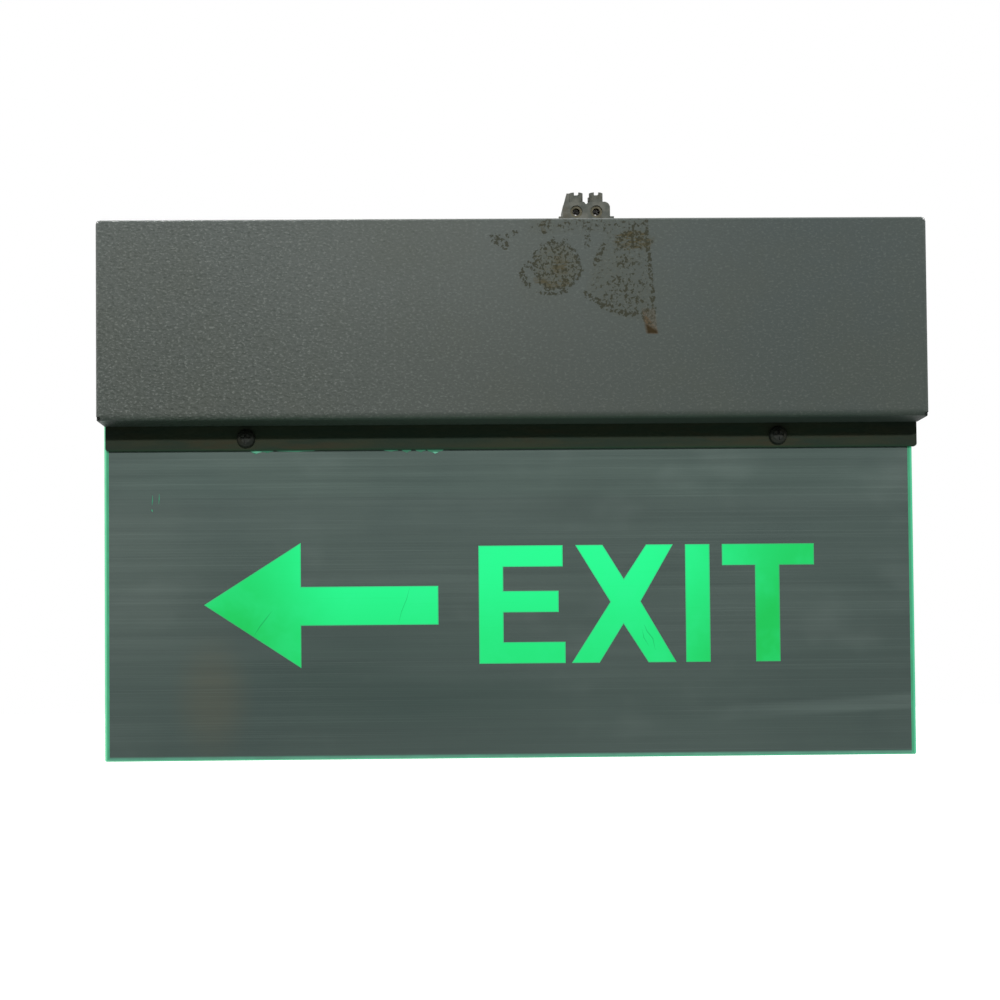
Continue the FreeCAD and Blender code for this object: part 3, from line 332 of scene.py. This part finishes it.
def brushed_face():
    """The brushed film over the acrylic: lines along X, soft clouds, painted soft reflections, and
    a lit foot.
    """
    m = Finish("brushed_face", Metallic=0.55, Specular_IOR_Level=0.2)
    lines = m.noise(1.0, 5.0, 0.75, place=m.stretched(4.0, 1.0, 2600.0))
    coarse = m.noise(1.0, 3.0, 0.6, place=m.stretched(5.0, 1.0, 260.0))
    reflection_bands = m.noise(1.0, 2.0, 0.5, place=m.stretched(6.0, 1.0, 38.0))
    height = m.z.step(-0.186, -0.050)
    tone = m.blend(height, srgb(54, 66, 62), srgb(55, 66, 62))
    # Painted soft reflections: a darker middle, a lighter zone on the left, darker zones to the
    # lower right and low in the middle.
    middle = (m.z + 0.112).math("ABSOLUTE").step(0.040, 0.005)
    tone = m.blend(middle * 0.30, tone, srgb(50, 62, 58))
    left = m.x.step(-0.110, -0.165) * m.z.step(-0.165, -0.120) * m.z.step(-0.070, -0.085)
    tone = m.blend(left * 0.35, tone, srgb(72, 82, 77))
    right = m.x.step(0.030, 0.150) * m.z.step(-0.170, -0.130)
    tone = m.blend(right * 0.35, tone, srgb(44, 56, 53))
    reflection_pool = m.spot(-50, -152, 78, 24).step(1.25, 0.35)
    tone = m.blend(reflection_pool * 0.65, tone, srgb(42, 56, 52))
    cloud = m.noise(1.0, 3.0, 0.6, place=m.stretched(14.0, 1.0, 20.0))
    tone = m.blend(cloud.step(0.50, 0.72) * 0.35, tone, srgb(44, 56, 54))
    tone = m.blend(cloud.step(0.46, 0.28) * 0.30, tone, srgb(76, 86, 82))
    # Painted reflections: soft lighter horizontal bands.
    tone = m.blend(reflection_bands.step(0.42, 0.68) * 0.30, tone, srgb(66, 77, 73))
    olive = m.spot(-130, -160, 17, 28).step(1.2, 0.2) * 0.5
    tone = m.blend(olive, tone, srgb(68, 68, 56))
    dark = m.spot(38, -78, 34, 17).step(1.2, 0.2) * cloud.step(0.3, 0.6)
    tone = m.blend(dark * 0.40, tone, srgb(42, 52, 49))
    # Two long drawn streaks at the lower right, which fade in from the left.
    fading = m.x.step(0.060, 0.150)
    drawn = m.streak(60.0, -169.6, 172.0, -163.6, 3.4) * fading
    tone = m.blend(drawn * 0.34, tone, srgb(84, 97, 92))
    under = m.streak(60.0, -161.5, 172.0, -154.0, 7.0) * fading
    tone = m.blend(under * 0.34, tone, srgb(46, 57, 54))
    tone = m.blend(coarse.step(0.35, 0.7) * 0.22, tone, srgb(46, 56, 54))
    tone = m.blend(lines.step(0.50, 0.75) * 0.30, tone, srgb(88, 100, 95))
    m.set("Base Color", tone)
    # The film's foot takes light from the acrylic's lower edge.
    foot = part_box("face_sheet")[0].z
    lit = m.z.step(foot + 0.0017, foot + 0.0005) * m.noise(120, 3.0, 0.6).span(0.5, 1.2)
    m.set("Emission Color", m.blend(lit.low(1.0), BLACK, srgb(58, 134, 106)))
    m.set("Emission Strength", 1.0)
    m.set("Roughness", coarse.span(0.44, 0.58))
    m.relief(lines, 0.00003, 0.6)
    m.set("Anisotropic", 0.7)
    return m.material


def green_acrylic():
    """Clear acrylic seen at its lit edges: brightest at the outer skin."""
    m = Finish("green_acrylic", Roughness=0.12, IOR=1.49, Specular_IOR_Level=0.5)
    cloud = m.noise(40, 3.0, 0.6)
    fine = m.noise(900, 3.0, 0.6, place=m.stretched(1.0, 1.0, 0.2))
    tone = m.blend(cloud, srgb(30, 110, 78), srgb(52, 140, 104))
    m.set("Base Color", tone)
    edge = (m.x + 0.0013).math("ABSOLUTE").step(0.1738, 0.1747)
    foot = m.z.step(-0.1856, -0.1864)
    side = m.blend(m.x.step(-0.05, 0.05), srgb(112, 204, 156), srgb(58, 166, 124))
    glow = m.blend(edge.top(foot * 0.6), srgb(10, 92, 58), side)
    m.set("Emission Color", m.blend(fine.step(0.4, 0.75) * 0.35, glow, srgb(40, 150, 104)))
    m.set("Emission Strength", 0.9)
    m.relief(m.noise(1400, 2.0), 0.00002, 0.4)
    return m.material


def glowing(name, bright, deep, pale):
    """The lit legend: brightest high and in the middle, with the film's faint brushing."""
    m = Finish(name, Roughness=0.5, Specular_IOR_Level=0.02)
    m.set("Base Color", srgb(4, 14, 9))
    falling = m.z.step(-0.094, -0.150) * 0.50
    right = m.x.step(0.050, 0.130) * 0.85
    left = m.x.step(-0.070, -0.120) * 0.60
    amount = (falling + right + left).low(1.0)
    tone = m.blend(amount, srgb(*bright), srgb(*deep))
    cloud = m.noise(55, 3.0, 0.6)
    tone = m.blend(cloud.step(0.4, 0.75) * 0.22, tone, srgb(*pale))
    lines = m.noise(1.0, 4.0, 0.7, place=m.stretched(10.0, 1.0, 1500.0))
    tone = m.blend(lines.step(0.55, 0.8) * 0.20, tone, srgb(*deep))
    m.set("Emission Color", tone)
    m.set("Emission Strength", 1.0)
    m.relief(lines, 0.00002, 0.4)
    return m.material


MATERIALS = {
    "textured_paint": textured_paint(),
    "strip_paint": strip_paint(),
    "brushed_face": brushed_face(),
    "green_acrylic": green_acrylic(),
    "box_paint": plain("box_paint", (84, 90, 85), (94, 99, 94), 60, (0.45, 0.62), grain=800,
                       depth=0.00022, grime=0.3, Specular_IOR_Level=0.3),
    "zinc_steel": plain("zinc_steel", (150, 153, 150), (182, 183, 178), 180, (0.28, 0.5), 0.9,
                        grime=0.35),
    "dark_steel": plain("dark_steel", (15, 19, 15), (30, 33, 28), 500, (0.45, 0.65), 0.25,
                        grime=0.2, Specular_IOR_Level=0.15),
    "dirty_brass": plain("dirty_brass", (70, 66, 48), (104, 98, 76), 700, (0.45, 0.65), 0.2,
                         grime=0.7, Specular_IOR_Level=0.15),
    "white_backing": plain("white_backing", (204, 208, 204), (216, 218, 213), 30, (0.4, 0.55),
                           grime=0.12),
    "aluminium": plain("aluminium", (168, 171, 172), (190, 192, 193), 200, (0.3, 0.45), 0.9),
    "white_solder_mask": plain("white_solder_mask", (222, 222, 216), (230, 230, 226), 120,
                               (0.3, 0.4)),
    "lamp_phosphor": plain("lamp_phosphor", (214, 214, 120), (226, 224, 150), 900, (0.2, 0.35)),
    "cell_sleeve": plain("cell_sleeve", (24, 78, 52), (34, 92, 62), 80, (0.2, 0.34)),
    "lamination": plain("lamination", (50, 50, 54), (68, 66, 66), 900, (0.4, 0.6), 0.5,
                        grime=0.4),
    "bobbin_nylon": plain("bobbin_nylon", (206, 200, 186), (216, 212, 200), 90, (0.4, 0.55)),
    "winding": plain("winding", (176, 104, 32), (196, 122, 46), 300, (0.3, 0.5)),
    "circuit_board": plain("circuit_board", (22, 84, 40), (32, 100, 50), 220, (0.25, 0.4)),
    "black_plastic": plain("black_plastic", (16, 16, 16), (28, 28, 28), 300, (0.35, 0.55)),
    "blue_sleeve": plain("blue_sleeve", (16, 26, 78), (24, 36, 92), 300, (0.2, 0.35)),
    "terminal_plastic": plain("terminal_plastic", (78, 82, 76), (104, 105, 97), 260,
                              (0.5, 0.7), grime=0.6, Specular_IOR_Level=0.15),
    "brass": plain("brass", (76, 74, 60), (98, 94, 78), 500, (0.5, 0.7), 0.15, grime=0.6,
                   Specular_IOR_Level=0.1),
    "rubber": plain("rubber", (18, 18, 18), (30, 30, 29), 300, (0.6, 0.8)),
    "button_plastic": plain("button_plastic", (168, 18, 14), (184, 28, 22), 200, (0.25, 0.4)),
    "lamp_lens": plain("lamp_lens", (22, 128, 44), (34, 150, 60), 200, (0.15, 0.25)),
}
# Nodes whose finish differs from the one their slot names.
OWN_SLOT = {"clamp_strip": "strip_paint", "terminal_screws": "dirty_brass"}
for name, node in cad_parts.items():
    packed = node.data.materials[0].name.split(".")[0]
    chosen = MATERIALS[OWN_SLOT.get(name, packed)]
    for index in range(len(node.data.materials)):
        node.data.materials[index] = chosen


# ---------------------------------------------------------------- pieces
def piece(name, mesh, materials, body="housing"):
    thing = bpy.data.objects.new(name, mesh)
    scene.collection.objects.link(thing)
    for material in materials:
        mesh.materials.append(material)
    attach(thing, body)
    return thing


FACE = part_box("face_sheet")[0].y
# Bright, deep and pale tone of each lit piece.
LIT = glowing("legend_light", (40, 252, 147), (31, 198, 88), (54, 241, 152))
LIT_RIM = glowing("legend_rim", (56, 224, 140), (52, 182, 100), (76, 224, 150))
SCRATCH = glowing("legend_scratch", (34, 222, 126), (28, 168, 78), (40, 222, 132))
GLINT = glowing("film_glint", (58, 112, 88), (48, 92, 72), (74, 134, 108))
BRIGHT = glowing("film_bright", (104, 178, 148), (80, 150, 120), (130, 200, 170))
SCRAPED = glowing("film_scraped", (60, 158, 118), (50, 130, 96), (84, 176, 138))


def plate(name, outline, thick, materials, rim=0.0):
    """A flat sheet piece lying on the brushed face: outline in mm, seen from the front."""
    work = bmesh.new()
    front = [work.verts.new((x * MM, FACE - thick, z * MM)) for x, z in outline]
    back = [work.verts.new((x * MM, FACE, z * MM)) for x, z in outline]
    face = work.faces.new(front)
    work.faces.new(list(reversed(back)))
    for i in range(len(front)):
        j = (i + 1) % len(front)
        work.faces.new((front[i], back[i], back[j], front[j]))
    bmesh.ops.recalc_face_normals(work, faces=work.faces)
    if rim:
        ring = bmesh.ops.inset_region(work, faces=[face], thickness=rim, use_even_offset=True)
        for side in ring["faces"]:
            side.material_index = 1
    mesh = bpy.data.meshes.new(name)
    work.to_mesh(mesh)
    work.free()
    piece(name, mesh, materials)


# The legend in mm: letters between TOP and FOOT, uprights of STROKE, bars of ARM.
TOP, FOOT = -94.9, -145.9
STROKE = 10.6
ARM = 9.2
MIDDLE = -114.6
LEGEND = {
    "legend_arrow": [(-133.6, -119.6), (-91.9, -93.1), (-91.9, -112.1), (-32.7, -112.1),
                     (-32.7, -128.8), (-91.9, -128.8), (-91.9, -147.1)],
    "legend_letter_1": [(-15.2, TOP), (21.2, TOP), (21.2, TOP - ARM), (-15.2 + STROKE, TOP - ARM),
                        (-15.2 + STROKE, MIDDLE), (19.3, MIDDLE), (19.3, MIDDLE - ARM),
                        (-15.2 + STROKE, MIDDLE - ARM), (-15.2 + STROKE, FOOT + ARM),
                        (22.1, FOOT + ARM), (22.1, FOOT), (-15.2, FOOT)],
    "legend_letter_2": [(26.7, TOP), (38.5, TOP), (47.6, -109.7), (57.4, TOP), (69.0, TOP),
                        (54.8, -119.5), (70.1, FOOT), (58.0, FOOT), (47.3, -129.1),
                        (36.8, FOOT), (24.8, FOOT), (41.7, -119.6)],
    "legend_letter_3": [(74.3, TOP), (74.3 + STROKE, TOP), (74.3 + STROKE, FOOT), (74.3, FOOT)],
    "legend_letter_4": [(90.3, TOP), (130.3, TOP), (130.3, TOP - ARM), (115.2, TOP - ARM),
                        (115.2, FOOT), (115.2 - STROKE, FOOT), (115.2 - STROKE, TOP - ARM),
                        (90.3, TOP - ARM)],
}
LEGEND_LIFT = 0.12 * MM
LEGEND_RIM = 0.4 * MM
for name, outline in LEGEND.items():
    plate(name, outline, LEGEND_LIFT, [LIT, LIT_RIM], rim=LEGEND_RIM)


def hairline(name, points, width, lift, materials):
    """A scratch: a ribbon along points, in mm, that narrows to both ends."""
    spine = [Vector(p) for p in points]
    left, right = [], []
    for i, point in enumerate(spine):
        ahead = (spine[min(i + 1, len(spine) - 1)] - spine[max(i - 1, 0)]).normalized()
        across = Vector((-ahead.y, ahead.x))
        share = i / (len(spine) - 1)
        half = width / 2 * (0.15 + math.sin(math.pi * share))
        left.append(tuple(point + across * half))
        right.append(tuple(point - across * half))
    plate(name, left + right[::-1], lift, materials)


OVER_LEGEND = 0.15 * MM
IN_FILM = 0.02 * MM
# Scratches in mm: width, then the places they run through.
LEGEND_SCRATCHES = [
    (0.45, [(-112.1, -132.9), (-109.6, -129.0), (-106.9, -125.6), (-104.6, -122.6)]),
    (0.32, [(-49.9, -127.9), (-48.6, -123.0), (-46.4, -117.8), (-45.0, -112.6)]),
    (0.45, [(56.2, -129.5), (57.4, -132.4), (59.9, -135.6), (60.9, -140.6)]),
    (0.35, [(55.4, -131.6), (56.0, -135.2), (58.2, -138.9)]),
]
FILM_SCRATCHES = [
    (0.32, [(-155.5, -71.9), (-155.6, -74.2), (-155.8, -76.6)]),
    (0.28, [(-152.7, -71.2), (-152.7, -73.6), (-152.9, -76.0)]),
    (0.5, [(-155.9, -78.0), (-155.8, -78.6), (-155.5, -79.2)]),
]
for number, (width, points) in enumerate(LEGEND_SCRATCHES, 1):
    hairline(f"legend_scratch_{number}", points, width, OVER_LEGEND, [SCRATCH])
for number, (width, points) in enumerate(FILM_SCRATCHES, 1):
    hairline(f"film_scratch_{number}", points, width, IN_FILM, [SCRAPED])

STRIP_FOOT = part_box("clamp_strip")[0].z / MM
# Chips in the film under the strip, in mm: start, end, drop.
CHIPS = [(-113.6, -108.6, 1.6), (-109.2, -103.0, 1.0), (-104.0, -84.0, 0.6), (-56.4, -49.0, 0.7),
         (-48.2, -43.6, 1.3), (-42.4, -37.2, 1.1), (-37.6, -29.6, 1.7)]
# Each chip's outline: shares of its run from its start, and of its drop below the strip.
CHIP_SHAPE = [(0.90, 0.30), (0.68, 0.55), (0.54, 1.0), (0.37, 0.72), (0.15, 0.4)]
UNDER_STRIP = 0.3
for number, (start, end, drop) in enumerate(CHIPS, 1):
    outline = [(start, STRIP_FOOT + UNDER_STRIP), (end, STRIP_FOOT + UNDER_STRIP)]
    outline += [(start + (end - start) * run, STRIP_FOOT - drop * fall) for run, fall in CHIP_SHAPE]
    plate(f"film_chip_{number}", outline, IN_FILM, [GLINT])
# Two bright gleams in the chips: width, then places along X and below the strip.
GLEAMS = [
    (0.8, [(-112.6, 0.5), (-110.8, 0.7), (-108.4, 0.4)]),
    (0.7, [(-34.6, 0.9), (-33.6, 1.3), (-32.2, 1.0)]),
]
for number, (width, points) in enumerate(GLEAMS, len(CHIPS) + 1):
    points = [(x, STRIP_FOOT - below) for x, below in points]
    hairline(f"film_chip_{number}", points, width, 2 * IN_FILM, [BRIGHT])


COIL_STEPS, WIRE_SIDES = 28, 10


def coil(name, node, turns, wire, slot):
    """A compression spring along X in a node's place."""
    low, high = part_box(node)
    middle = (low + high) / 2
    radius = (high.y - low.y) / 2 - wire
    steps, sides = COIL_STEPS * turns, WIRE_SIDES
    reach = high.x - low.x - 2 * wire
    rings, faces = [], []
    for i in range(steps + 1):
        angle = 2 * math.pi * turns * i / steps
        out = Vector((0, math.cos(angle), math.sin(angle)))
        centre = Vector((low.x + wire + reach * i / steps, middle.y, middle.z)) + out * radius
        for k in range(sides):
            turn = 2 * math.pi * k / sides
            sideways = Vector((wire * math.sin(turn), 0, 0))
            rings.append(centre + out * wire * math.cos(turn) + sideways)
    for i in range(steps):
        for k in range(sides):
            a, b = i * sides + k, i * sides + (k + 1) % sides
            faces.append((a, b, b + sides, a + sides))
    faces.append(tuple(range(sides))[::-1])
    faces.append(tuple(steps * sides + k for k in range(sides)))
    mesh = bpy.data.meshes.new(name)
    mesh.from_pydata(rings, [], faces)
    work = bmesh.new()
    work.from_mesh(mesh)
    bmesh.ops.recalc_face_normals(work, faces=work.faces)
    work.to_mesh(mesh)
    work.free()
    mesh.polygons.foreach_set("use_smooth", [True] * len(mesh.polygons))
    thing = piece(name, mesh, [MATERIALS[slot]])
    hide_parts(node)
    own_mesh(thing)


coil("test_coil", "test_spring", 4, 0.25 * MM, "zinc_steel")

# ---------------------------------------------------------------- stage
camera = bpy.data.objects.new("camera", bpy.data.cameras.new("camera"))
scene.collection.objects.link(camera)
scene.camera = camera
YAW, PITCH, ROLL = -0.0240, 0.0362, -0.0091
SENSOR = 36
camera.data.sensor_width = SENSOR
camera.data.lens = 2.3195 * SENSOR
camera.data.shift_y = 0.100
turn = Matrix.Rotation(YAW, 4, "Z") @ Matrix.Rotation(math.pi / 2 + PITCH, 4, "X")
turn = turn @ Matrix.Rotation(ROLL, 4, "Z")
camera.matrix_world = Matrix.Translation((-0.0301, -1.0244, -0.1547)) @ turn


def sun(name, azimuth, elevation, strength, spread):
    """A lamp far away, placed by where its light comes from, seen from the object."""
    lamp = bpy.data.objects.new(name, bpy.data.lights.new(name, "SUN"))
    lamp.data.energy = strength
    lamp.data.angle = math.radians(spread)
    az, el = math.radians(azimuth), math.radians(elevation)
    source = Vector((math.sin(az) * math.cos(el), -math.cos(az) * math.cos(el), math.sin(el)))
    lamp.rotation_euler = source.to_track_quat("Z", "Y").to_euler()
    scene.collection.objects.link(lamp)


sun("key", 2, 14.4, 2.25, 2.2)
sun("behind", 205, 48, 1.9, 12)
sun("left", 262, 20, 0.9, 10)
sun("right", 98, 22, 0.8, 10)

# The acrylic's light that leaves the panel at a low angle, up to the cover's underside.
leak = bpy.data.objects.new("panel_light", bpy.data.lights.new("panel_light", "AREA"))
leak.data.shape = "RECTANGLE"
leak.data.size = 0.33
leak.data.size_y = 0.02
leak.data.energy = 0.014
leak.data.color = (0.35, 1.0, 0.6)
leak.location = (0, FACE - 0.016, -0.075)
leak.rotation_euler = (math.pi, 0, 0)
leak.visible_camera = False
leak.visible_glossy = False
scene.collection.objects.link(leak)

world = bpy.data.worlds.new("world")
scene.world = world
world.use_nodes = True
nodes = world.node_tree
white = nodes.nodes["Background"]
white.inputs["Color"].default_value = WHITE
white.inputs["Strength"].default_value = 1.0
soft = nodes.nodes.new("ShaderNodeBackground")
soft.inputs["Color"].default_value = WHITE
soft.inputs["Strength"].default_value = 0.26


def seen(tree):
    """1 for what the camera sees directly, in a reflection or through glass."""
    path = tree.nodes.new("ShaderNodeLightPath")
    direct = Value(tree, path.outputs["Is Camera Ray"])
    shown = direct.top(Value(tree, path.outputs["Is Glossy Ray"]))
    return shown.top(Value(tree, path.outputs["Is Transmission Ray"]))


mixer = nodes.nodes.new("ShaderNodeMixShader")
plug(nodes, mixer.inputs[0], seen(nodes))
nodes.links.new(soft.outputs[0], mixer.inputs[1])
nodes.links.new(white.outputs[0], mixer.inputs[2])
nodes.links.new(mixer.outputs[0], nodes.nodes["World Output"].inputs["Surface"])

FLOOR_Z = -0.45
REACH = 25.0
FLOOR_GLOW = 0.62
floor_mesh = bpy.data.meshes.new("floor")
floor_mesh.from_pydata([(-REACH, -REACH, FLOOR_Z), (REACH, -REACH, FLOOR_Z),
                        (REACH, REACH, FLOOR_Z), (-REACH, REACH, FLOOR_Z)], [], [(0, 1, 2, 3)])
floor = bpy.data.objects.new("floor", floor_mesh)
scene.collection.objects.link(floor)
ground = Finish("floor_paper", Roughness=0.9, Specular_IOR_Level=0.0)
DIM, LIGHT = (0.22, 0.22, 0.22, 1), (0.62, 0.62, 0.62, 1)
ground.set("Base Color", ground.blend(seen(ground.tree), DIM, LIGHT))
ground.set("Emission Color", WHITE)
ground.set("Emission Strength", seen(ground.tree) * FLOOR_GLOW)
floor_mesh.materials.append(ground.material)

scene.view_settings.view_transform = "Standard"
